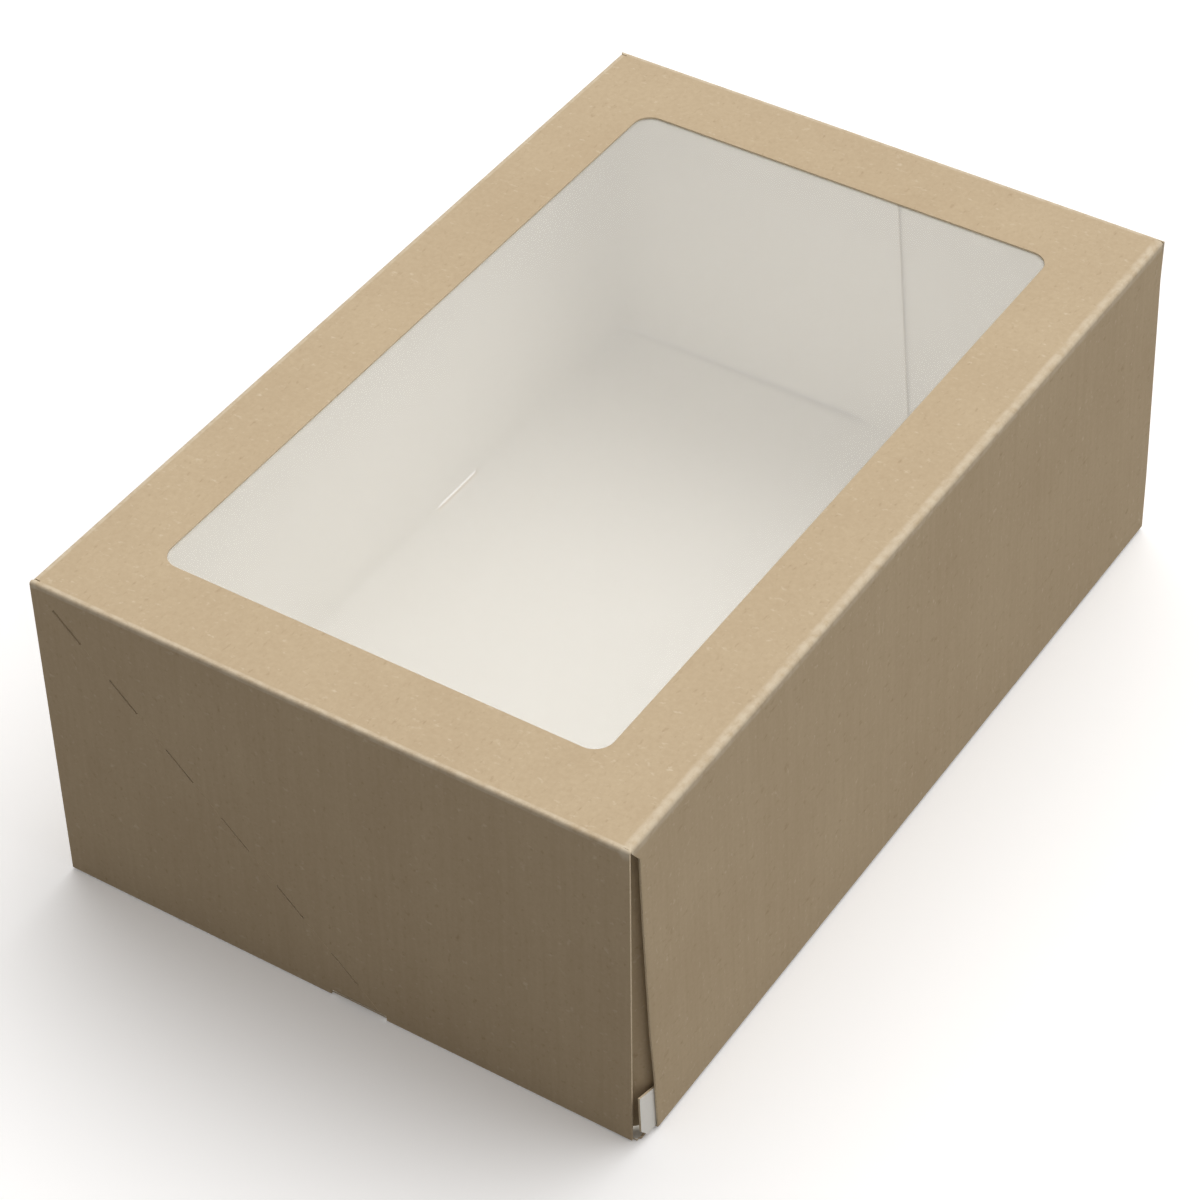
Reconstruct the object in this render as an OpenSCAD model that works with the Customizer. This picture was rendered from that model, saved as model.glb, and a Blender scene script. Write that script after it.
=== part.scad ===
// Windowed cake box of folded board, kraft brown outside and white inside.
// X runs along the box, Y from the front flap to the back wall, Z up.
// The origin is the centre of the base's underside, where the box stands.

/* [Box] */
// Length of the closed box, outside the short walls
box_l = 250; // [180:1:360]
// Depth of the closed box, outside the back wall and the top of the front flap
box_w = 160; // [130:1:240]
// Height of the closed box
box_h = 93; // [60:1:120]

/* [Board] */
// Thickness of the board
board = 0.5; // [0.3:0.05:0.8]
// Space between sheets that lie side by side
layer_gap = 0.3; // [0.2:0.05:0.6]
// Outer radius of a folded edge
bend_r = 0.8; // [0.7:0.05:1.5]

/* [Working creases] */
// Radius of the rounded crease that the lid turns on
lid_crease_r = 0.8; // [0.7:0.05:1.5]
// Radius of the rounded crease that the front flap turns on
flap_crease_r = 1; // [0.8:0.05:1.6]
// Running clearance round both creases
crease_gap = 0.06; // [0.03:0.01:0.1]

/* [Window] */
// Board left between the window and each short wall
window_end_margin = 21.5; // [14:0.5:40]
// Board left between the window and the front flap
window_front_margin = 20.5; // [12:0.5:30]
// Board left between the window and the back wall
window_back_margin = 20; // [12:0.5:30]
// Corner radius of the window
window_r = 5; // [2:0.5:20]
// Thickness of the clear film glued under the window
film_t = 0.1; // [0.05:0.05:0.3]
// Width of the film's glued border
film_lap = 8; // [4:0.5:9]

/* [Short walls] */
// Gap left under each short wall
wall_foot_gap = 0.3; // [0.2:0.1:1]
// Length of one slit of the slanting cut-score
slit_l = 10; // [4:0.5:16]
// Width of the slits
slit_w = 0.5; // [0.2:0.05:0.8]
// Distance from one slit to the next
slit_pitch = 20.4; // [18:0.1:30]
// Distance from the top back corner to the middle of the first slit
slit_first = 13.4; // [10:0.1:18]
// Distance from the back wall to the notch in the bottom edge
wall_notch_start = 77; // [60:1:90]
// Length of that notch
wall_notch_l = 18; // [8:1:30]
// Height of that notch
wall_notch_h = 1.5; // [0.8:0.1:3]

/* [Back wings] */
// Reach of the back wings from the back wall, along their top edge
back_wing_top = 84.5; // [60:0.5:90]
// Reach of the back wings from the back wall, along the floor
back_wing_foot = 93; // [80:1:100]
// Height of the back wings' lower edge above the floor at the back fold
back_wing_lift = 0.8; // [0.4:0.1:3]
// Height of the same edge beside the foot tab
back_wing_tab_lift = 2; // [0.8:0.1:4]
// Length of the foot tab that stands on the floor
foot_tab_l = 15; // [6:1:19]

/* [Front wall] */
// Reach of the front wall's wings, which slide in behind the back wings
front_wing_l = 92; // [84:1:110]
// How much the front wings narrow towards their end, at each edge
front_wing_taper = 5; // [0:0.5:12]
// Height of the front wings' lower edge above the floor
front_wing_lift = 1; // [0.4:0.1:3]

/* [Slots in the back crease] */
// Distance from each end of the box to the slot in the bottom back crease
back_slot_start = 76; // [20:1:80]
// Length of that slot
back_slot_l = 18.6; // [6:0.1:30]
// Height of that slot
back_slot_h = 1.5; // [1:0.1:3]

/* [Front flap] */
// Angle at which the flap and the front wall behind it lean out from the vertical
flap_splay = 2; // [1.6:0.1:6]
// Gap under the flap
flap_foot_gap = 0.5; // [0.3:0.1:5]
// How far the flap's ends step in just under the lid
flap_end_step = 4; // [2:0.5:10]
// Height of that slanting step
flap_step_h = 4.2; // [2:0.2:10]
// How far the flap's ends stand in at the foot
flap_end_foot = 6.3; // [3:0.1:14]
// Inner radius of the tight fold at the flap's foot
hem_inner_r = 0.1; // [0.05:0.05:0.6]
// Height of the hem that is turned up behind the flap
hem_h = 12.5; // [8:0.5:30]
// How far the hem's ears stand out past the flap's ends, at the fold
hem_ear_foot = 3.3; // [0.5:0.1:3.5]
// How far they stand out at their widest
hem_ear = 6; // [3.6:0.1:6.3]
// Height at which an ear reaches its full width
hem_ear_low = 3.5; // [2:0.5:6]
// Height of an ear's outer corner, above the hem's own edge
hem_ear_high = 14.4; // [7:0.2:16]

/* [Hidden] */
$fn = 96;
kraft = "#B79C78";
clear_film = [0.86, 0.9, 0.9, 0.35];
// A cut runs this far past the faces that it opens
past = 1;
// Length and height of the crease axes and of the sheets that hang from them
half_l = box_l / 2;
half_w = box_w / 2;
top_under = box_h - board;
tray_half = half_l - board - layer_gap;
tray_fold_x = tray_half - bend_r;
lid_axis_y = half_w - lid_crease_r;
lid_axis_z = box_h - lid_crease_r;
flap_axis_y = -half_w + flap_crease_r;
flap_axis_z = box_h - flap_crease_r;
// Tops of the inner walls, clear of the creases above them
back_wing_z = box_h - 2 * lid_crease_r;
front_wall_z = box_h - 2 * flap_crease_r - layer_gap;
// The front wall leans with the flap, one gap behind its hem
hem_bend_r = board + hem_inner_r;
front_wall_y = 2 * hem_bend_r - flap_crease_r + layer_gap;
front_fold_y = flap_axis_y + (front_wall_y - flap_axis_z * sin(flap_splay)) / cos(flap_splay);
front_wing_low = board + front_wing_lift;
front_wing_high = front_wall_z - front_wing_taper;
// The back wings lean in by one sheet, over the end of the front wings
front_wing_end = front_fold_y + front_wing_l * cos(flap_splay) + front_wing_high * sin(flap_splay);
wing_slope = (board + layer_gap) / (half_w - bend_r - front_wing_end);
foot_tab_start = back_wing_foot - foot_tab_l;
// Slanting cut-score, from the top back corner to the bottom edge at 45 degrees
score_angle = 45;
score_l = (box_h - wall_foot_gap) / sin(score_angle);
slit_count = floor((score_l - slit_first - slit_l / 2) / slit_pitch) + 1;
// The flap's drop from its crease, measured down its own face
flap_drop = (flap_axis_z - flap_foot_gap) / cos(flap_splay);
flap_top_half = tray_half;
flap_foot_half = half_l - flap_end_foot;
hem_z = hem_bend_r - flap_drop;

// A bent strip of board that turns about Z, from +X by the angle given
module fold(length, r = bend_r, turn = 90) {
    rotate_extrude(angle = turn)
        translate([r - board, 0])
            square([board, length]);
}

// A bent strip along X, with its turn counted from +Y towards +Z
module fold_along_x(length, r = bend_r, start = 0, turn = 90) {
    translate([-length / 2, 0, 0])
        rotate([90, 0, 90])
            rotate([0, 0, start])
                fold(length, r, turn);
}

// A panel that faces along X, outlined in Y and Z
module side_panel(outline, thickness = board) {
    rotate([90, 0, 90])
        linear_extrude(thickness)
            polygon(outline);
}

// A panel that faces along Y, outlined in X and Z
module front_panel(outline) {
    translate([0, board, 0])
        rotate([90, 0, 0])
            linear_extrude(board)
                polygon(outline);
}

// Both ends of the box alike
module both_ends() {
    children();
    mirror([1, 0, 0])
        children();
}

// Outline of the window, grown by the margin given
module window_outline(grow = 0, r = window_r) {
    low_x = window_end_margin - half_l - grow;
    low_y = window_front_margin - half_w - grow;
    high_y = half_w - window_back_margin + grow;
    translate([low_x + r, low_y])
        square([-2 * (low_x + r), high_y - low_y]);
    translate([low_x, low_y + r])
        square([-2 * low_x, high_y - low_y - 2 * r]);
    for (x = [low_x + r, -low_x - r], y = [low_y + r, high_y - r])
        translate([x, y])
            circle(r);
}

// Runs from the back fold to the middle of the front wall's sheet
module base() {
    back_y = half_w - bend_r;
    front_y = front_fold_y + board / 2;
    translate([tray_half, back_y, 0])
        rotate([0, 0, 180])
            cube([2 * tray_half, back_y - front_y, board]);
}

module back_wall() {
    difference() {
        union() {
            translate([-tray_fold_x, half_w - board, bend_r])
                cube([2 * tray_fold_x, board, lid_axis_z - bend_r]);
            translate([0, half_w - bend_r, bend_r])
                fold_along_x(2 * tray_fold_x, start = -90);
        }
        both_ends()
            translate([half_l - back_slot_start - back_slot_l, half_w - bend_r, board])
                cube([back_slot_l, bend_r + past, back_slot_h]);
    }
    translate([-tray_fold_x, lid_axis_y, lid_axis_z])
        rotate([0, 90, 0])
            cylinder(r = lid_crease_r, h = 2 * tray_fold_x);
}

// The slanting strip is the wing seen from above, and its outline is cut from the side
module back_wing() {
    low = board + back_wing_lift;
    tab_low = board + back_wing_tab_lift;
    tab_foot = board + crease_gap;
    reach = back_wing_foot - bend_r;
    lean = reach * wing_slope;
    translate([tray_fold_x, half_w - bend_r, 0]) {
        translate([0, 0, low])
            fold(back_wing_z - low);
        intersection() {
            linear_extrude(back_wing_z)
                polygon([
                    [bend_r - board, 0],
                    [bend_r, 0],
                    [bend_r - lean, -reach],
                    [bend_r - board - lean, -reach]
                ]);
            translate([-bend_r - lean, 0, 0])
                side_panel([
                    [0, low],
                    [bend_r - foot_tab_start, tab_low],
                    [bend_r - foot_tab_start, tab_foot],
                    [-reach, tab_foot],
                    [bend_r - back_wing_top, back_wing_z],
                    [0, back_wing_z]
                ], 3 * bend_r + lean);
        }
    }
}

// Drawn from the front fold up, with a lower edge on the slant that stays above the base
module front_wing() {
    reach = front_wing_l - bend_r;
    base_rise = front_wing_l * tan(flap_splay);
    translate([tray_fold_x, bend_r, 0]) {
        translate([0, 0, front_wing_low])
            rotate([0, 0, -90])
                fold(front_wall_z - front_wing_low);
        translate([bend_r - board, 0, 0])
            side_panel([
                [0, front_wing_low],
                [reach, front_wing_low + base_rise + front_wing_taper],
                [reach, front_wing_high],
                [0, front_wall_z]
            ]);
    }
}

// Front wall with its wings, leaned with the flap and ended level with the base
module front_wall() {
    difference() {
        translate([0, front_fold_y, 0])
            rotate([-flap_splay, 0, 0]) {
                translate([-tray_fold_x, 0, -past])
                    cube([2 * tray_fold_x, board, front_wall_z + past]);
                both_ends()
                    front_wing();
            }
        translate([-half_l, -box_w, -2 * past])
            cube([box_l, box_w, 2 * past]);
    }
}

// Base, back wall and front wall with their wings, folded from one sheet
module tray() {
    color(kraft) {
        base();
        back_wall();
        front_wall();
        both_ends()
            back_wing();
    }
}

// Top panel with the window cut out and a seat for the back crease
module top_panel() {
    seat_half = tray_fold_x + layer_gap;
    difference() {
        translate([-half_l + bend_r, flap_axis_y, top_under])
            cube([box_l - 2 * bend_r, lid_axis_y - flap_axis_y, board]);
        translate([0, 0, top_under - past])
            linear_extrude(board + 2 * past)
                window_outline();
        translate([-seat_half, lid_axis_y, lid_axis_z])
            rotate([0, 90, 0])
                cylinder(r = lid_crease_r + crease_gap, h = 2 * seat_half);
    }
    translate([-flap_top_half, flap_axis_y, flap_axis_z])
        rotate([0, 90, 0])
            cylinder(r = flap_crease_r, h = 2 * flap_top_half);
}

// One slit every pitch along the slanting score
module score_slits() {
    translate([-past, half_w, box_h])
        rotate([-score_angle, 0, 0])
            for (i = [0 : slit_count - 1])
                translate([0, -slit_w / 2, -slit_first - i * slit_pitch - slit_l / 2])
                    cube([board + 2 * past, slit_w, slit_l]);
}

// Short wall at the +X end, hanging from the top panel
module short_wall() {
    translate([half_l - bend_r, half_w, box_h - bend_r])
        rotate([90, 0, 0])
            fold(box_w);
    difference() {
        translate([half_l - board, 0, 0])
            side_panel([
                [-half_w, wall_foot_gap],
                [half_w, wall_foot_gap],
                [half_w, box_h - bend_r],
                [-half_w, box_h - bend_r]
            ]);
        translate([half_l - board, 0, 0])
            score_slits();
        translate([half_l - board - past, half_w - wall_notch_start - wall_notch_l, 0])
            cube([board + 2 * past, wall_notch_l, wall_foot_gap + wall_notch_h]);
    }
}

module lid() {
    color(kraft) {
        top_panel();
        both_ends()
            short_wall();
    }
}

module window_film() {
    color(clear_film)
        translate([0, 0, top_under - film_t])
            linear_extrude(film_t)
                window_outline(film_lap, film_lap / 2);
}

// Flap with the hem turned up behind it, hanging from the lid's front crease
module front_flap() {
    color(kraft)
        translate([0, flap_axis_y, flap_axis_z])
            rotate([-flap_splay, 0, 0]) {
                difference() {
                    translate([0, -flap_crease_r, 0])
                        front_panel([
                            [-flap_top_half, 0],
                            [-half_l + flap_end_step, -flap_step_h],
                            [-flap_foot_half, hem_z],
                            [flap_foot_half, hem_z],
                            [half_l - flap_end_step, -flap_step_h],
                            [flap_top_half, 0]
                        ]);
                    translate([-half_l, 0, 0])
                        rotate([0, 90, 0])
                            cylinder(r = flap_crease_r + crease_gap, h = box_l);
                }
                translate([0, hem_bend_r - flap_crease_r, hem_z])
                    fold_along_x(2 * flap_foot_half, hem_bend_r, 180, 180);
                translate([0, 2 * hem_bend_r - board - flap_crease_r, hem_z])
                    front_panel([
                        [-flap_foot_half - hem_ear_foot, 0],
                        [-flap_foot_half - hem_ear, hem_ear_low],
                        [-flap_foot_half - hem_ear, hem_ear_high],
                        [-flap_foot_half, hem_h],
                        [flap_foot_half, hem_h],
                        [flap_foot_half + hem_ear, hem_ear_high],
                        [flap_foot_half + hem_ear, hem_ear_low],
                        [flap_foot_half + hem_ear_foot, 0]
                    ]);
            }
}

tray();
lid();
window_film();
front_flap();
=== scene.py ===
import math

import bmesh
import bpy
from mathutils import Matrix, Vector


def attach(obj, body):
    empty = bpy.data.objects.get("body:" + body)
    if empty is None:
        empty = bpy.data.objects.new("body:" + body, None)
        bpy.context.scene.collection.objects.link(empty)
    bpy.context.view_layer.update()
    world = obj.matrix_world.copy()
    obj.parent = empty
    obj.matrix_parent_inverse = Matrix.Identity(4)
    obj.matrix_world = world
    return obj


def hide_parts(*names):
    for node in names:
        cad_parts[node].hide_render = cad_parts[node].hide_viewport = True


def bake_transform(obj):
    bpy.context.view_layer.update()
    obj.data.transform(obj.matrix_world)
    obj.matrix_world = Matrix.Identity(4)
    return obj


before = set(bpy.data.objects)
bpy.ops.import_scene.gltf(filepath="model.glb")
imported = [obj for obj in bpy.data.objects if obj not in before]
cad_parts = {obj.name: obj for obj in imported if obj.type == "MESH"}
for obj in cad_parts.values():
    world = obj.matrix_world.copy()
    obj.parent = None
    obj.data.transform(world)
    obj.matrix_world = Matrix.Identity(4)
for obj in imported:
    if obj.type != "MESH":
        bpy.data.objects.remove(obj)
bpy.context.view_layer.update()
mm = 0.001
far = 1e6


# Camera, light and floor.
view = {
    "place": (-575.7, -369.1, 649.2),  # mm
    "turn": (47.827, 0.654, -57.349),  # degrees
    "lens": 111.24,
    "sensor": 36,
}
bpy.ops.object.camera_add(
    location=[value * mm for value in view["place"]],
    rotation=[math.radians(value) for value in view["turn"]],
)
viewCamera = bpy.context.object
viewCamera.name = "viewCamera"
viewCamera.data.lens = view["lens"]
viewCamera.data.sensor_width = view["sensor"]
viewCamera.data.clip_start = 0.05
viewCamera.data.clip_end = 50
bpy.context.scene.camera = viewCamera


def addNode(tree, kind, settings=None, links=None):
    # links holds a value or another node's output for each input named
    node = tree.nodes.new(kind)
    for name, value in (settings or {}).items():
        setattr(node, name, value)
    for name, value in (links or {}).items():
        if isinstance(value, bpy.types.NodeSocket):
            tree.links.new(value, node.inputs[name])
        else:
            node.inputs[name].default_value = value
    return node


def fromHex(code):
    # sRGB hex to linear red, green, blue and a full alpha
    parts = [int(code[i : i + 2], 16) / 255 for i in (1, 3, 5)]
    linear = [p / 12.92 if p <= 0.04045 else ((p + 0.055) / 1.055) ** 2.4 for p in parts]
    return (*linear, 1)


def seenDirectly(tree):
    # 1 for camera, mirror and glass rays, 0 for the rays that light the box
    path = addNode(tree, "ShaderNodeLightPath")
    first = addNode(
        tree,
        "ShaderNodeMath",
        {"operation": "MAXIMUM"},
        {0: path.outputs["Is Camera Ray"], 1: path.outputs["Is Glossy Ray"]},
    )
    both = addNode(
        tree,
        "ShaderNodeMath",
        {"operation": "MAXIMUM"},
        {0: first.outputs[0], 1: path.outputs["Is Transmission Ray"]},
    )
    return both.outputs[0]


light = {
    "skyStrength": 0.38,
    "skyTint": "#FFFAF6",
    "frontFrom": (0.45, -0.40, 0.80),
    "frontStrength": 1.52,
    "backFrom": (0.5, 0.3, 0.8),
    "backStrength": 1.30,
    "spread": 60,  # degrees, for soft edges to the shadows
}


def addSun(name, comesFrom, strength, spread):
    bpy.ops.object.light_add(type="SUN", location=Vector(comesFrom))
    sun = bpy.context.object
    sun.name = name
    sun.rotation_euler = Vector(comesFrom).to_track_quat("Z", "Y").to_euler()
    sun.data.energy = strength
    sun.data.angle = math.radians(spread)


addSun("rightFrontLight", light["frontFrom"], light["frontStrength"], light["spread"])
addSun("rightBackLight", light["backFrom"], light["backStrength"], light["spread"])

sky = bpy.data.worlds.new("softSky")
bpy.context.scene.world = sky
sky.use_nodes = True
sky.node_tree.nodes.clear()
softSky = addNode(sky.node_tree, "ShaderNodeBackground", {}, {"Strength": light["skyStrength"]})
softSky.inputs["Color"].default_value = fromHex(light["skyTint"])
whiteSky = addNode(sky.node_tree, "ShaderNodeBackground", {}, {"Strength": 1.0})
whiteSky.inputs["Color"].default_value = fromHex("#FFFFFF")
skyMix = addNode(
    sky.node_tree,
    "ShaderNodeMixShader",
    {},
    {0: seenDirectly(sky.node_tree), 1: softSky.outputs[0], 2: whiteSky.outputs[0]},
)
addNode(sky.node_tree, "ShaderNodeOutputWorld", {}, {"Surface": skyMix.outputs[0]})

floor = {
    "halfSide": 6,  # m
    "drop": 0.1,  # mm below the box, so that the two don't share a plane
    "seen": "#F8F8F8",
    "bounced": "#8A8A8A",
    "glow": 0.12,
}
bpy.ops.object.select_all(action="DESELECT")
bpy.ops.mesh.primitive_plane_add(size=2 * floor["halfSide"], location=(0, 0, -floor["drop"] * mm))
studioFloor = bpy.context.object
studioFloor.name = "studioFloor"
paper = bpy.data.materials.new("paleStudioPaper")
paper.use_nodes = True
paper.node_tree.nodes.clear()
floorSeen = seenDirectly(paper.node_tree)
floorColour = addNode(
    paper.node_tree,
    "ShaderNodeMix",
    {"data_type": "RGBA"},
    {"Factor": floorSeen, 6: fromHex(floor["bounced"]), 7: fromHex(floor["seen"])},
)
floorGlow = addNode(
    paper.node_tree,
    "ShaderNodeMath",
    {"operation": "MULTIPLY"},
    {0: floorSeen, 1: floor["glow"]},
)
floorShader = addNode(
    paper.node_tree,
    "ShaderNodeBsdfPrincipled",
    {},
    {
        "Base Color": floorColour.outputs[2],
        "Roughness": 1.0,
        "Specular IOR Level": 0.0,
        "Emission Color": fromHex("#FFFFFF"),
        "Emission Strength": floorGlow.outputs[0],
    },
)
addNode(paper.node_tree, "ShaderNodeOutputMaterial", {}, {"Surface": floorShader.outputs[0]})
studioFloor.data.materials.append(paper)
print("camera, light and floor")


# Materials.

def newMaterial(name):
    material = bpy.data.materials.new(name)
    material.use_nodes = True
    material.node_tree.nodes.clear()
    return material, material.node_tree


def mottle(tree, place, size, stretch=(1, 1, 1), detail=4, low=0.3, high=0.7):
    # noise with grains about size mm across, spread to 0..1 between low and high
    scaled = addNode(
        tree, "ShaderNodeMapping", {}, {"Vector": place, "Scale": tuple(1 / s for s in stretch)}
    )
    noise = addNode(
        tree,
        "ShaderNodeTexNoise",
        {"normalize": True},
        {
            "Vector": scaled.outputs[0],
            "Scale": 1 / (size * mm),
            "Detail": detail,
            "Roughness": 0.6,
        },
    )
    spread = addNode(
        tree,
        "ShaderNodeMapRange",
        {},
        {"Value": noise.outputs[0], "From Min": low, "From Max": high},
    )
    return spread.outputs[0]


def tint(tree, amount, base, colour, strength):
    # base turned towards colour where amount is high
    scaled = addNode(
        tree, "ShaderNodeMath", {"operation": "MULTIPLY"}, {0: amount, 1: strength}
    )
    mixed = addNode(
        tree,
        "ShaderNodeMix",
        {"data_type": "RGBA"},
        {"Factor": scaled.outputs[0], 6: base, 7: colour},
    )
    return mixed.outputs[2]


# Unbleached kraft liner, calendered on a board machine: matt brown, with a fine
# soft mottle, a few faint fibres and streaks down the walls. Its creases are paler: partly real
# wear of the stretched fibres, partly a painted highlight along the folds.
kraft = {
    "base": "#C4B193",
    "dark": "#93785A",
    "pale": "#E0D3BA",
    "creaseWearAndHighlight": "#DCD0BA",
    "cloudSize": 26,
    "grainSize": 1.1,
    "fibreSize": 1.3,
    "roughness": 0.88,
    # a point of the crease's line, the axes across it, then in mm its radius and how
    # far the pale band of wear and painted highlight reaches past it, and how strong that band is
    "creases": (
        ((0, -79, 92), (0, 1, 1), 1.0, 1.8, 0.55),
        ((124.2, 0, 92.2), (1, 0, 1), 0.8, 0.8, 0.5),
        ((0, 79.2, 92.2), (0, 1, 1), 0.8, 0.8, 0.45),
    ),
}


def nearCrease(tree, place, line, mask, radius, reach):
    # 1 on the rounded crease, fading to 0 at the reach given past its edges;
    # a crease along y is met at both ends of the box
    mirrored = addNode(tree, "ShaderNodeVectorMath", {"operation": "ABSOLUTE"}, {0: place})
    spot = place if line[1] else mirrored.outputs[0]
    flat = addNode(
        tree, "ShaderNodeVectorMath", {"operation": "MULTIPLY"}, {0: spot, 1: mask}
    )
    gap = addNode(
        tree,
        "ShaderNodeVectorMath",
        {"operation": "DISTANCE"},
        {0: flat.outputs[0], 1: [value * mm for value in line]},
    )
    fade = addNode(
        tree,
        "ShaderNodeMapRange",
        {"interpolation_type": "SMOOTHSTEP"},
        {
            "Value": gap.outputs["Value"],
            "From Min": (radius + 0.02) * mm,
            "From Max": math.hypot(radius, reach) * mm,
            "To Min": 1.0,
            "To Max": 0.0,
        },
    )
    return fade.outputs[0]


def makeKraft():
    material, tree = newMaterial("unbleachedKraftLiner")
    place = addNode(tree, "ShaderNodeTexCoord").outputs["Object"]
    colour = tint(
        tree,
        mottle(tree, place, kraft["cloudSize"], detail=2),
        fromHex(kraft["base"]),
        fromHex(kraft["dark"]),
        0.10,
    )
    grain = mottle(tree, place, kraft["grainSize"], detail=5)
    colour = tint(tree, grain, colour, fromHex(kraft["dark"]), 0.13)
    streaks = mottle(tree, place, 1.5, stretch=(1, 1, 30), detail=3, low=0.35, high=0.75)
    colour = tint(tree, streaks, colour, fromHex(kraft["dark"]), 0.12)
    darkFibres = mottle(tree, place, kraft["fibreSize"], (2.2, 1, 1.3), 2, 0.62, 0.78)
    colour = tint(tree, darkFibres, colour, fromHex(kraft["dark"]), 0.35)
    paleFibres = mottle(tree, place, kraft["fibreSize"], (1, 1.8, 1.5), 2, 0.63, 0.80)
    colour = tint(tree, paleFibres, colour, fromHex(kraft["pale"]), 0.4)
    patchyCreases = mottle(tree, place, 2.4, detail=4, low=0.25, high=0.6)
    # each crease gets a patchy pale band: real fibre wear together with a painted highlight
    for line, mask, radius, reach, strength in kraft["creases"]:
        wearAndHighlight = addNode(
            tree,
            "ShaderNodeMath",
            {"operation": "MULTIPLY"},
            {0: nearCrease(tree, place, line, mask, radius, reach), 1: patchyCreases},
        )
        colour = tint(tree, wearAndHighlight.outputs[0], colour, fromHex(kraft["creaseWearAndHighlight"]), strength)
    bump = addNode(
        tree,
        "ShaderNodeBump",
        {},
        {"Height": grain, "Strength": 0.3, "Distance": 0.03 * mm},
    )
    shader = addNode(
        tree,
        "ShaderNodeBsdfPrincipled",
        {},
        {
            "Base Color": colour,
            "Roughness": kraft["roughness"],
            "Specular IOR Level": 0.2,
            "Normal": bump.outputs[0],
        },
    )
    addNode(tree, "ShaderNodeOutputMaterial", {}, {"Surface": shader.outputs[0]})
    return material


# White liner on the inside, plain and uncoated: a slightly warm, matt white.
white = {"base": "#F6F4EE", "shade": "#E4DFD4", "roughness": 0.75}


def makeWhite():
    material, tree = newMaterial("whiteBoardLiner")
    place = addNode(tree, "ShaderNodeTexCoord").outputs["Object"]
    clouds = mottle(tree, place, 14, detail=3)
    colour = tint(tree, clouds, fromHex(white["base"]), fromHex(white["shade"]), 0.12)
    grain = mottle(tree, place, 0.9, detail=5)
    colour = tint(tree, grain, colour, fromHex(white["shade"]), 0.12)
    bump = addNode(
        tree,
        "ShaderNodeBump",
        {},
        {"Height": grain, "Strength": 0.25, "Distance": 0.03 * mm},
    )
    shader = addNode(
        tree,
        "ShaderNodeBsdfPrincipled",
        {},
        {
            "Base Color": colour,
            "Roughness": white["roughness"],
            "Specular IOR Level": 0.3,
            "Normal": bump.outputs[0],
        },
    )
    addNode(tree, "ShaderNodeOutputMaterial", {}, {"Surface": shader.outputs[0]})
    return material


# Die-cut edge of the board: torn fibres of both liners, paler than the kraft.
cutEdge = {"base": "#DCCDB2", "shade": "#B89F7C", "roughness": 0.95}


def makeCutEdge():
    material, tree = newMaterial("dieCutBoardEdge")
    place = addNode(tree, "ShaderNodeTexCoord").outputs["Object"]
    fibres = mottle(tree, place, 0.7, detail=4)
    colour = tint(tree, fibres, fromHex(cutEdge["base"]), fromHex(cutEdge["shade"]), 0.5)
    shader = addNode(
        tree,
        "ShaderNodeBsdfPrincipled",
        {},
        {"Base Color": colour, "Roughness": cutEdge["roughness"], "Specular IOR Level": 0.1},
    )
    addNode(tree, "ShaderNodeOutputMaterial", {}, {"Surface": shader.outputs[0]})
    return material


# Clear PET film, extruded: glossy, and see-through except at a low angle.
film = {"base": "#FAF7F0", "roughness": 0.06, "faceOn": 0.03, "edgeOn": 0.4}


def makeFilm():
    material, tree = newMaterial("clearPetFilm")
    rim = addNode(tree, "ShaderNodeFresnel", {}, {"IOR": 1.5})
    cover = addNode(
        tree,
        "ShaderNodeMapRange",
        {},
        {"Value": rim.outputs[0], "To Min": film["faceOn"], "To Max": film["edgeOn"]},
    )
    shader = addNode(
        tree,
        "ShaderNodeBsdfPrincipled",
        {},
        {
            "Base Color": fromHex(film["base"]),
            "Roughness": film["roughness"],
            "Alpha": cover.outputs[0],
        },
    )
    addNode(tree, "ShaderNodeOutputMaterial", {}, {"Surface": shader.outputs[0]})
    return material


kraftLiner = makeKraft()
whiteLiner = makeWhite()
boardEdge = makeCutEdge()
clearFilm = makeFilm()
print("materials")


# How a folded sheet is made.
board = {
    "thickness": 0.5,
    "bendRadius": 0.8,
    "foldSteps": 8,
    "halfLength": 125,
    "halfWidth": 80,
    "height": 93,
}


def startSheet(name, low, high, height):
    # a flat panel from one corner to the other, in mm, left in edit mode
    bpy.ops.object.select_all(action="DESELECT")
    bpy.ops.mesh.primitive_plane_add(size=mm)
    sheet = bpy.context.object
    sheet.name = sheet.data.name = name
    bpy.ops.object.mode_set(mode="EDIT")
    bpy.ops.mesh.select_all(action="SELECT")
    bpy.ops.transform.resize(
        value=(high[0] - low[0], high[1] - low[1], 1), center_override=(0, 0, 0)
    )
    move(((low[0] + high[0]) / 2, (low[1] + high[1]) / 2, height))
    return sheet


def move(step):
    bpy.ops.transform.translate(value=[value * mm for value in step])


def pick(kind="edges", x=(-far, far), y=(-far, far), z=(-far, far)):
    # selects what lies inside the ranges, in mm
    modes = {"verts": "VERT", "edges": "EDGE", "faces": "FACE"}
    bpy.ops.mesh.select_mode(type=modes[kind])
    bpy.ops.mesh.select_all(action="DESELECT")
    mesh = bmesh.from_edit_mesh(bpy.context.edit_object.data)
    slack = 0.02
    found = 0
    for part in getattr(mesh, kind):
        corners = [part] if kind == "verts" else part.verts
        inside = all(
            span[0] - slack <= corner.co[axis] / mm <= span[1] + slack
            for corner in corners
            for axis, span in enumerate((x, y, z))
        )
        if inside:
            part.select_set(True)
            found += 1
    bmesh.update_edit_mesh(bpy.context.edit_object.data)
    if not found:
        raise ValueError(f"nothing picked: {kind} {x} {y} {z}")


def extrude(step):
    bpy.ops.mesh.extrude_region_move(
        TRANSFORM_OT_translate={"value": [value * mm for value in step]}
    )


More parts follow.
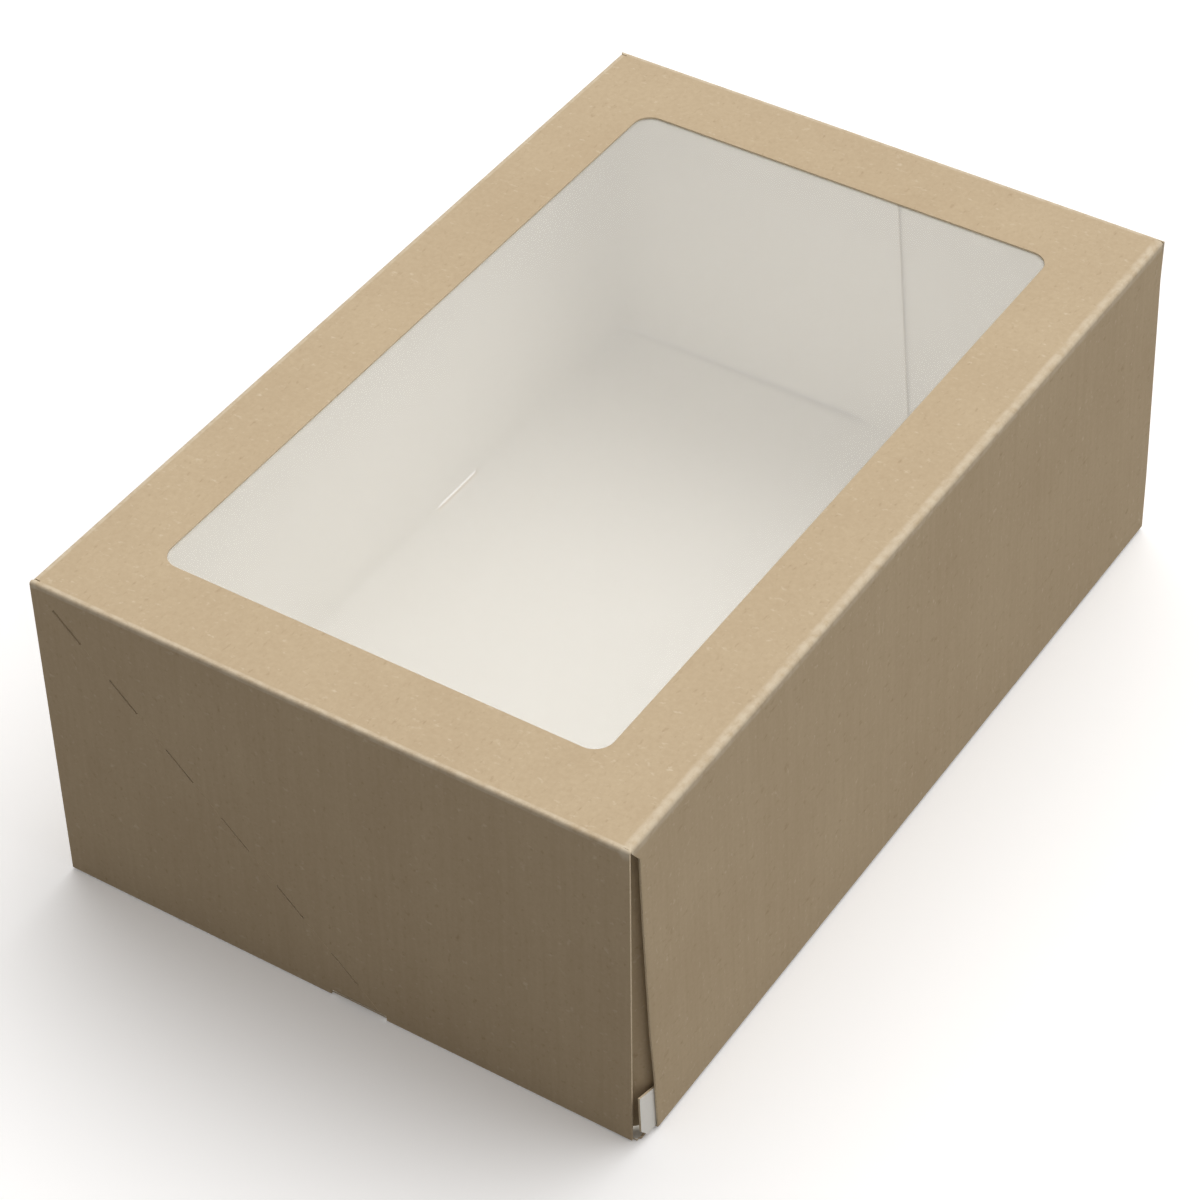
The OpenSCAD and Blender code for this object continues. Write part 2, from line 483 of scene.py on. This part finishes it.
def fold(centre, axis, turn, steps=board["foldSteps"]):
    # bends the picked edge of the sheet round a line, as a creased board bends
    bpy.ops.mesh.spin(
        steps=steps,
        angle=-math.radians(turn),
        center=[value * mm for value in centre],
        axis=axis,
    )


def runModifier(piece, kind, settings):
    modifier = piece.modifiers.new(kind.lower(), kind)
    for name, value in settings.items():
        setattr(modifier, name, value)
    bpy.context.view_layer.objects.active = piece
    bpy.ops.object.modifier_apply(modifier=modifier.name)


def closeSheet(
    sheet, outsideAt, outwards, thickness=board["thickness"], finishes=None, half=True
):
    # mirrors a half sheet, turns its faces outwards and gives it thickness
    bpy.ops.object.mode_set(mode="OBJECT")
    if half:
        runModifier(sheet, "MIRROR", {"use_clip": True, "merge_threshold": 0.01 * mm})
    bpy.ops.object.mode_set(mode="EDIT")
    bpy.ops.mesh.select_all(action="SELECT")
    bpy.ops.mesh.remove_doubles(threshold=0.01 * mm)
    bpy.ops.mesh.normals_make_consistent(inside=False)
    mesh = bmesh.from_edit_mesh(sheet.data)
    nearest = min(
        mesh.faces,
        key=lambda face: (face.calc_center_median() / mm - Vector(outsideAt)).length,
    )
    if nearest.normal.dot(Vector(outwards)) < 0:
        bpy.ops.mesh.flip_normals()
    bpy.ops.object.mode_set(mode="OBJECT")
    for finish in finishes or (kraftLiner, whiteLiner, boardEdge):
        sheet.data.materials.append(finish)
    runModifier(
        sheet,
        "SOLIDIFY",
        {
            "thickness": thickness * mm,
            "offset": -1,
            "use_even_offset": True,
            "material_offset": 0 if finishes else 1,
            "material_offset_rim": 0 if finishes else 2,
        },
    )


def addBlock(name, low, high):
    # a cutting block from corner to corner, in mm, left in edit mode
    bpy.ops.object.select_all(action="DESELECT")
    bpy.ops.mesh.primitive_cube_add(size=mm)
    block = bpy.context.object
    block.name = name
    block.data.materials.append(boardEdge)
    bpy.ops.object.mode_set(mode="EDIT")
    bpy.ops.mesh.select_all(action="SELECT")
    bpy.ops.transform.resize(
        value=[b - a for a, b in zip(low, high)], center_override=(0, 0, 0)
    )
    move([(a + b) / 2 for a, b in zip(low, high)])
    return block


def cutAway(sheet, blocks):
    # joins the blocks and takes them out of the sheet, leaving cut board
    bpy.ops.object.select_all(action="DESELECT")
    for block in blocks:
        block.select_set(True)
    bpy.context.view_layer.objects.active = blocks[0]
    if len(blocks) > 1:
        bpy.ops.object.join()
    die = bpy.context.object
    runModifier(
        sheet,
        "BOOLEAN",
        {"object": die, "operation": "DIFFERENCE", "solver": "EXACT", "material_mode": "TRANSFER"},
    )
    bpy.data.objects.remove(die)


def smoothFolds(sheet):
    # folds shade smooth and the flat panels stay flat
    bpy.ops.object.select_all(action="DESELECT")
    sheet.select_set(True)
    bpy.context.view_layer.objects.active = sheet
    bpy.ops.object.shade_smooth_by_angle(angle=math.radians(32))
    runModifier(sheet, "WEIGHTED_NORMAL", {"keep_sharp": True, "weight": 90})


# Tray: base, back wall, inner front wall and their wings.
tray = {
    "halfBase": 124.2,
    "foldX": 123.4,
    "frontFoldY": -81.7125,
    "frontLean": 2,  # degrees
    "frontWallTop": 90.7,
    "wallTop": 91.4,
    "backWingLow": 1.3,
    "backWingTabLow": 2.5,
    "backWingFoot": 0.56,
    "backWingTabStart": 78,
    "backWingTopReach": 84.5,
    "backWingFootReach": 93,
    "wingLean": 0.695,  # degrees
    "frontWingLow": 1.5,
    "frontCornerRadius": 9,  # the front wings aren't pressed flat, so they bow round
    "frontWingReach": 92,
    "frontWingTaper": 5,
    "slot": (30.4, 49, 0.5, 2.0),  # from, to, bottom, top
}


def makeTray():
    bend = board["bendRadius"]
    back = board["halfWidth"]
    foldX = tray["foldX"]
    frontLean = math.radians(tray["frontLean"])
    up = Vector((0, math.sin(frontLean), math.cos(frontLean)))
    inwards = Vector((0, math.cos(frontLean), -math.sin(frontLean)))
    foot = Vector((0, tray["frontFoldY"], 0))
    bendHeight = bend * math.tan(frontLean / 2 + math.pi / 4)
    frontBend = foot + inwards * bend + up * bendHeight
    sheet = startSheet("traySheet", (0, frontBend.y), (foldX, back - bend), 0)
    pick(x=(foldX, foldX), z=(0, 0))
    extrude((tray["halfBase"] - foldX, 0, 0))

    # back wall, folded up from the base, and its wing
    pick(x=(0, foldX), y=(back - bend, back - bend))
    fold((0, back - bend, bend), (1, 0, 0), 90)
    extrude((0, 0, tray["backWingLow"] - bend))
    extrude((0, 0, tray["wallTop"] - tray["backWingLow"]))
    pick(x=(foldX, foldX), y=(back, back), z=(tray["backWingLow"], far))
    fold((foldX, back - bend, 0), (0, 0, -1), 90 + tray["wingLean"])
    lean = math.radians(tray["wingLean"])
    along = Vector((-math.sin(lean), -math.cos(lean), 0))
    extrude(along * (tray["backWingTabStart"] - bend))
    tabY = back - tray["backWingTabStart"]
    wingX = (foldX - 3, far)
    pick("verts", wingX, (tabY - 2, tabY + 2), (0, 2))
    move((0, 0, tray["backWingTabLow"] - tray["backWingLow"]))
    pick("edges", wingX, (tabY - 2, tabY + 2), (tray["backWingTabLow"], far))
    extrude(along * (tray["backWingTopReach"] - tray["backWingTabStart"]))
    slant = (tray["backWingFootReach"] - tray["backWingTopReach"]) / (
        tray["wallTop"] - tray["backWingFoot"]
    )
    lowReach = slant * (tray["wallTop"] - tray["backWingTabLow"])
    edgeY = back - tray["backWingTopReach"]
    pick("verts", wingX, (edgeY - 1, edgeY + 1), (0, 5))
    move(along * lowReach)
    pick("edges", wingX, (-20, tabY + 1), (0, 3))
    extrude((0, 0, tray["backWingFoot"] - tray["backWingTabLow"]))
    pick("verts", wingX, (-20, edgeY - 1), (0, 1))
    move(along * slant * (tray["backWingTabLow"] - tray["backWingFoot"]))

    # inner front wall, leaning out with the flap, and its wing
    pick(x=(0, foldX), y=(frontBend.y, frontBend.y))
    fold(frontBend, (-1, 0, 0), 90 + tray["frontLean"])
    extrude(up * (tray["frontWingLow"] - bendHeight))
    extrude(up * (tray["frontWallTop"] - tray["frontWingLow"]))
    corner = tray["frontCornerRadius"]
    cornerX = tray["halfBase"] - corner
    pick("verts", (foldX, foldX), (foot.y, foot.y + 4), (tray["frontWingLow"], far))
    move((cornerX - foldX, 0, 0))
    pick(x=(cornerX, cornerX), y=(foot.y, foot.y + 4), z=(tray["frontWingLow"], far))
    fold(foot + inwards * corner + Vector((cornerX, 0, 0)), up, 90)
    extrude(inwards * (tray["frontWingReach"] - corner))
    wingEndY = foot.y + tray["frontWingReach"]
    wingEnd = (wingEndY - 1, wingEndY + 4)
    pick("verts", wingX, wingEnd, (-3, 3))
    rise = tray["frontWingReach"] * math.tan(frontLean) + tray["frontWingTaper"]
    move(up * rise)
    pick("verts", wingX, wingEnd, (80, far))
    move(up * -tray["frontWingTaper"])

    closeSheet(sheet, (0, back, 50), (0, 1, 0))
    start, end, low, high = tray["slot"]
    slots = []
    for left, right in ((start, end), (-end, -start)):
        slots.append(addBlock("slotDie", (left, back - bend, low), (right, back + 1, high)))
        bpy.ops.object.mode_set(mode="OBJECT")
    cutAway(sheet, slots)
    smoothFolds(sheet)
    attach(sheet, "tray")
    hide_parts("tray")
    print("tray")
    return sheet


traySheet = makeTray()


# Back crease, where the lid turns.
backCrease = {
    "radius": 0.8,
    "lip": 78,
    "halfLength": 123.4,
    "bottom": 91.4,
    "blend": 0.15,  # each way from the axis, across the crease
}


def makeBackCrease():
    axisY = board["halfWidth"] - backCrease["radius"]
    axisZ = board["height"] - backCrease["radius"]
    sheet = startSheet(
        "backCrease", (0, backCrease["lip"]), (backCrease["halfLength"], axisY), board["height"]
    )
    pick(y=(axisY, axisY))
    fold((0, axisY, axisZ), (-1, 0, 0), 90)
    extrude((0, 0, backCrease["bottom"] - axisZ))
    closeSheet(sheet, (0, axisY - 0.5, board["height"]), (0, 0, 1))
    smoothFolds(sheet)
    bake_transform(sheet)
    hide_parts("tray")
    print("back crease")
    return sheet


backCreaseSheet = makeBackCrease()


# Lid: top panel with the window, and the short walls.
lid = {
    "seamY": 78,  # the working creases take over from here
    "tabX": 123.7,
    "tabRelief": 0.6,  # taken off the tab's corner, which swings past the tray
    "wallFoot": 0.3,
    "window": (-103.5, 103.5, -59.5, 60),  # from, to, front, back
    "windowRadius": 5,
    "notch": (-12.8, 3, 1.8),  # from, to, top
    "slitLength": 10,
    "slitPitch": 20.4,
    "slitFirst": 13.4,
    "slitWidths": (0.8, 0.65, 0.55, 0.4, 0.5, 0.4),
    "scoreWidth": 0.16,
    "scoreDepth": 0.05,
}


def turnAndPlace(slant, corner):
    # turns the block in edit mode onto the slanting score from the top back corner
    mesh = bmesh.from_edit_mesh(bpy.context.edit_object.data)
    for vert in mesh.verts:
        along, across = -vert.co.z, vert.co.y
        vert.co.y = -along * math.sin(slant) + across * math.cos(slant)
        vert.co.z = -along * math.cos(slant) - across * math.sin(slant)
    bmesh.update_edit_mesh(bpy.context.edit_object.data)
    move(corner)
    bpy.ops.object.mode_set(mode="OBJECT")


def makeLid():
    bend = board["bendRadius"]
    top = board["height"]
    half = board["halfLength"]
    seam = lid["seamY"]
    sheet = startSheet("lidSheet", (0, -seam), (lid["tabX"], seam), top)
    pick(x=(lid["tabX"], lid["tabX"]))
    extrude((half - bend - lid["tabX"], 0, 0))
    pick(x=(lid["tabX"], far), y=(seam, seam))
    extrude((0, board["halfWidth"] - seam, 0))
    pick("verts", (lid["tabX"], lid["tabX"]), (board["halfWidth"], far))
    move((0, -lid["tabRelief"], 0))
    pick(x=(half - bend, far))
    fold((half - bend, 0, top - bend), (0, 1, 0), 90)
    extrude((0, 0, lid["wallFoot"] - top + bend))
    pick(x=(half - bend, far), y=(-seam, -seam))
    extrude((0, seam - board["halfWidth"], 0))
    closeSheet(sheet, (half, 0, 50), (1, 0, 0))

    dies = []
    low, high, front, back = lid["window"]
    dies.append(addBlock("windowDie", (low, front, top - 2), (high, back, top + 1)))
    bpy.ops.mesh.select_mode(type="EDGE")
    mesh = bmesh.from_edit_mesh(dies[0].data)
    for edge in mesh.edges:
        one, other = edge.verts
        edge.select_set(abs(one.co.z - other.co.z) > mm)
    bmesh.update_edit_mesh(dies[0].data)
    bpy.ops.mesh.bevel(offset=lid["windowRadius"] * mm, segments=14, affect="EDGES")
    bpy.ops.object.mode_set(mode="OBJECT")
    start, end, notchTop = lid["notch"]
    slant = math.radians(45)
    corner = Vector((0, board["halfWidth"], top))
    for side in (-1, 1):
        wallX = side * half
        dies.append(addBlock("notchDie", (wallX - 2, start, -1), (wallX + 2, end, notchTop)))
        bpy.ops.object.mode_set(mode="OBJECT")
        for i, width in enumerate(lid["slitWidths"]):
            middle = lid["slitFirst"] + i * lid["slitPitch"]
            length = lid["slitLength"]
            dies.append(
                addBlock(
                    "slitDie",
                    (wallX - 2, -width / 2, -middle - length / 2),
                    (wallX + 2, width / 2, -middle + length / 2),
                )
            )
            turnAndPlace(slant, corner)
    cutAway(sheet, dies)
    scores = []
    reach = (top - lid["wallFoot"]) / math.cos(slant)
    for side in (-1, 1):
        depth = lid["scoreDepth"]
        width = lid["scoreWidth"]
        outer, inner = sorted((side * (half + 1), side * (half - depth)))
        for i in range(len(lid["slitWidths"])):
            start = lid["slitFirst"] + i * lid["slitPitch"] + lid["slitLength"] / 2 + 1.2
            end = min(start + lid["slitPitch"] - lid["slitLength"] - 2.4, reach - 2)
            scores.append(
                addBlock("scoreDie", (outer, -width / 2, -end), (inner, width / 2, -start))
            )
            turnAndPlace(slant, corner)
    cutAway(sheet, scores)
    smoothFolds(sheet)
    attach(sheet, "lid")
    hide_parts("lid")
    print("lid")
    return sheet


lidSheet = makeLid()


# Window film.
windowFilm = {"x": 111.5, "y": (-67.5, 68), "top": 92.5, "thickness": 0.1, "radius": 4}


def makeFilmSheet():
    front, back = windowFilm["y"]
    sheet = startSheet("windowFilm", (0, front), (windowFilm["x"], back), windowFilm["top"])
    pick("verts", x=(windowFilm["x"], far))
    bpy.ops.mesh.bevel(offset=windowFilm["radius"] * mm, segments=8, affect="VERTICES")
    closeSheet(
        sheet, (0, 0, windowFilm["top"]), (0, 0, 1), windowFilm["thickness"], (clearFilm,)
    )
    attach(sheet, "lid")
    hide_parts("window_film")
    print("window film")
    return sheet


filmSheet = makeFilmSheet()


# Front flap with its crease and hem.
flap = {
    "seamY": -78,
    "radius": 1.0,
    "splay": 2,  # degrees
    "topHalf": 124.1,
    "drop": 91.556,
    "hemRadius": 0.6,
    "hemHeight": 12.5,
    "hemSteps": 12,
    "curlWidth": 2.2,
    "blend": 0.25,  # each way from the axis, across the crease
    # depth below the crease, reach of the left end, its curl, reach of the right end
    "rows": (
        (4.2, 121, 0, 124.1),
        (24, 120.5, 0.3, 124.1),
        (60, 119.6, 0.4, 124.1),
        (74, 119.2, 0, 124.1),
        (90.956, 118.7, 0, 123.6),
    ),
    "earFoot": 3.3,
    "earOut": 6,
    "earLow": 3.5,
    "earHigh": 14.4,
}


def makeFlap():
    radius = flap["radius"]
    axisY = radius - board["halfWidth"]
    axisZ = board["height"] - radius
    splay = math.radians(flap["splay"])
    down = Vector((0, -math.sin(splay), -math.cos(splay)))
    inwards = Vector((0, math.cos(splay), -math.sin(splay)))
    axis = Vector((0, axisY, axisZ))
    topHalf = flap["topHalf"]
    plainHalf = topHalf - flap["curlWidth"]
    sheet = startSheet(
        "flapSheet", (-plainHalf, axisY), (plainHalf, flap["seamY"]), board["height"]
    )
    for side in (-1, 1):
        pick(x=(side * plainHalf, side * plainHalf))
        extrude((side * flap["curlWidth"], 0, 0))
    pick(y=(axisY, axisY))
    fold(axis, (1, 0, 0), 90 - flap["splay"])

    # the left end is cut on the slant and curls in, and the right end covers its ear
    above, leftAbove, curlAbove, rightAbove = 0, topHalf, 0, topHalf
    for depth, left, curl, right in flap["rows"]:
        extrude(down * (depth - above))
        spot = axis + down * depth
        row = (spot.y - 2.5, spot.y + 2.5), (spot.z - 1, spot.z + 1)
        pick("verts", (-far, -100), *row)
        move((leftAbove - left, 0, 0))
        pick("verts", (-far, 0.1 - left), *row)
        move(inwards * (curl - curlAbove))
        pick("verts", (100, far), *row)
        move((right - rightAbove, 0, 0))
        pick("edges", (-far, far), *row)
        above, leftAbove, curlAbove, rightAbove = depth, left, curl, right
    hemCentre = axis + down * above + inwards * (flap["hemRadius"] - radius)
    fold(hemCentre, (1, 0, 0), 180, flap["hemSteps"])
    extrude(down * -flap["hemHeight"])

    # the ear past the hem's left end, rising above its edge
    foot = hemCentre + inwards * flap["hemRadius"]
    top = foot - down * flap["hemHeight"]
    earFoot = -leftAbove - flap["earFoot"]
    earX = -leftAbove - flap["earOut"]
    pick(x=(-leftAbove, -leftAbove), z=(foot.z, far))
    extrude((earFoot + leftAbove, 0, 0))
    extrude((earX - earFoot, 0, 0))
    pick("verts", (-far, earX), z=(foot.z - 0.1, foot.z + 0.1))
    move(down * -flap["earLow"])
    rise = flap["earHigh"] - flap["hemHeight"]
    pick("verts", (-far, earX), z=(top.z - 0.1, top.z + 0.1))
    move(down * -rise)
    pick("verts", (earX + 0.1, earFoot), z=(top.z - 0.1, top.z + 0.1))
    move(down * -rise * flap["earFoot"] / flap["earOut"])
    closeSheet(sheet, (0, axisY - 2.5, 50), (0, -1, 0), half=False)
    smoothFolds(sheet)
    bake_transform(sheet)
    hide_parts("front_flap")
    print("front flap")
    return sheet


flapSheet = makeFlap()

bpy.context.scene.view_settings.view_transform = "Standard"
